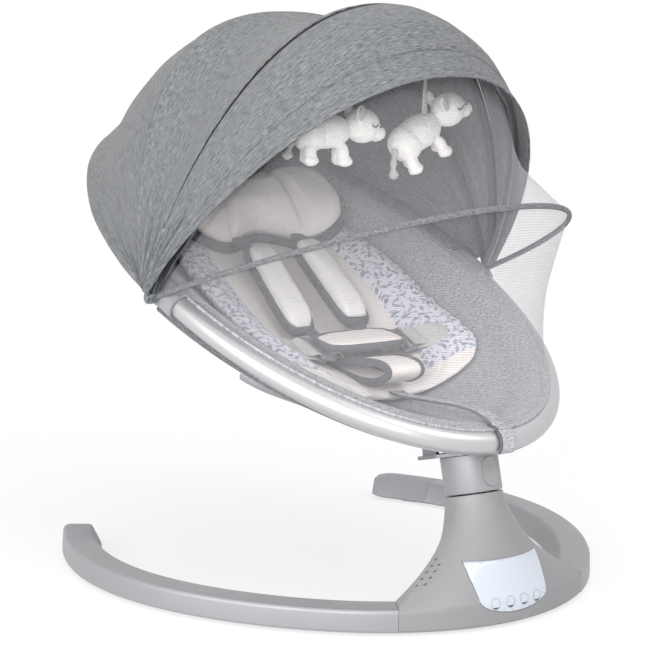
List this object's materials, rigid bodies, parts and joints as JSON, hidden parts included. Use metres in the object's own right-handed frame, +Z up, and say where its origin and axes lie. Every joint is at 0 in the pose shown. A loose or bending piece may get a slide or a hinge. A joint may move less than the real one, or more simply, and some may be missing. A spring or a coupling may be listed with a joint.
{
  "type": "baby swing",
  "caption": "Electric baby swing: C-shaped floor base, swinging tube-framed oval seat with padded liner and harness, folding canopy with net, and hanging plush toys.",
  "frame": {"origin": "on the floor under the middle of the swing's outline", "axes": "+Z up, +X to the baby's left-hand side as seen from the foot end's front, +Y from the feet towards the head"},
  "size_m": [0.5704, 0.648, 0.5952],
  "materials": {
    "silver_paint": "satin silver paint",
    "satin_tube": "satin metallic tube",
    "shell_grey": "fine matt moulding",
    "cap_grey": "matt moulding",
    "gloss_panel": "glossy touch panel",
    "rubber": "matt rubber",
    "steel": "plain steel",
    "board": "circuit board",
    "black_plastic": "matt moulding",
    "copper": "enamelled copper winding",
    "melange_fabric": "woven melange grey cloth",
    "liner_fabric": "light grey woven lining",
    "cream_fabric": "soft cream cotton with a grey leaf print on its wings",
    "piping_fabric": "grey woven tape",
    "plush": "short white plush",
    "net": "fine see-through mesh",
    "webbing": "woven webbing"
  },
  "bodies": {
    "base": {"right_arm_tube": "silver_paint", "left_arm_tube": "silver_paint", "right_end_cap": "cap_grey", "left_end_cap": "cap_grey", "right_front_foot": "rubber", "left_front_foot": "rubber", "right_side_foot": "rubber", "left_side_foot": "rubber", "right_rear_foot": "rubber", "left_rear_foot": "rubber", "pedestal_shell": "shell_grey", "touch_panel": "gloss_panel", "bottom_cover": "shell_grey", "control_board": "board", "speaker": "black_plastic", "power_inlet": "black_plastic", "bearing_housing": "shell_grey", "lower_bearing": "steel", "upper_bearing": "steel", "drive_coil": "copper"},
    "swing_head": {"swing_shaft": "steel", "drive_magnet": "black_plastic", "neck_collar": "satin_tube", "button_spring": "steel"},
    "button": {"release_button": "cap_grey"},
    "seat": {"ring_front_tube": "satin_tube", "ring_rear_tube": "steel", "right_canopy_hub": "cap_grey", "left_canopy_hub": "cap_grey", "right_canopy_pin": "steel", "left_canopy_pin": "steel", "seat_fork": "silver_paint", "seat_bracket": "black_plastic", "recline_pin": "steel", "seat_sling": "liner_fabric", "rim_sleeve": "melange_fabric", "seat_insert": "cream_fabric", "head_pillow": "cream_fabric", "right_shoulder_pad": "plush", "left_shoulder_pad": "plush", "harness_buckle": "black_plastic", "crotch_cover": "cream_fabric", "crotch_roll": "cream_fabric", "right_waist_strap": "webbing", "left_waist_strap": "webbing", "foot_strap": "piping_fabric", "canopy_rear_panel": "melange_fabric"},
    "rear_bow": {"rear_bow": "steel", "canopy_middle_panel": "melange_fabric"},
    "middle_bow": {"middle_bow": "steel", "canopy_front_panel": "melange_fabric"},
    "front_bow": {"front_bow": "steel", "canopy_visor": "melange_fabric", "net_upper": "net"},
    "net_bow": {"net_bow": "melange_fabric", "net_lower": "net"},
    "left_toy": {"left_toy": "plush", "left_toy_ribbon": "webbing"},
    "right_toy": {"right_toy": "plush", "right_toy_ribbon": "webbing"}
  },
  "joints": [
    {"name": "swing", "type": "hinge", "parent": "base", "child": "swing_head", "pos_m": [0, -0.25399, 0.117], "axis": [0, 0.2656, 0.9641], "range_deg": [-12, 12]},
    {"name": "button_press", "type": "slide", "parent": "swing_head", "child": "button", "axis": [0, 0.9641, -0.2656], "range_m": [0, 0.003], "stiffness_N_per_m": 600, "springref_m": -0.003, "deforming": ["button_spring"]},
    {"name": "recline", "type": "hinge", "parent": "swing_head", "child": "seat", "pos_m": [0, -0.21844, 0.16322], "axis": [-1, 0, 0], "range_deg": [0, 8]},
    {"name": "canopy_fold", "type": "hinge", "parent": "seat", "child": "rear_bow", "pos_m": [0, -0.00877, 0.29723], "axis": [-1, 0, 0], "range_deg": [0, 34], "deforming": ["canopy_rear_panel"]},
    {"name": "canopy_middle", "type": "hinge", "parent": "rear_bow", "child": "middle_bow", "pos_m": [0, -0.00877, 0.29723], "axis": [-1, 0, 0], "range_deg": [0, 24], "deforming": ["canopy_middle_panel"]},
    {"name": "canopy_front", "type": "hinge", "parent": "middle_bow", "child": "front_bow", "pos_m": [0, -0.00877, 0.29723], "axis": [-1, 0, 0], "range_deg": [0, 12], "deforming": ["canopy_front_panel"]},
    {"name": "net_lift", "type": "hinge", "parent": "front_bow", "child": "net_bow", "pos_m": [0, -0.00877, 0.29723], "axis": [-1, 0, 0], "range_deg": [0, 22], "deforming": ["net_upper", "net_lower"]},
    {"name": "left_toy_sway", "type": "hinge", "parent": "middle_bow", "child": "left_toy", "pos_m": [-0.062, -0.08586, 0.56874], "axis": [1, 0, 0], "range_deg": [-20, 20]},
    {"name": "right_toy_sway", "type": "hinge", "parent": "middle_bow", "child": "right_toy", "pos_m": [0.062, -0.08586, 0.56874], "axis": [1, 0, 0], "range_deg": [-20, 20]}
  ],
  "couplings": [
    {"joint": "canopy_middle", "follows": "canopy_fold", "ratio": 0.70588},
    {"joint": "canopy_front", "follows": "canopy_fold", "ratio": 0.35294}
  ]
}
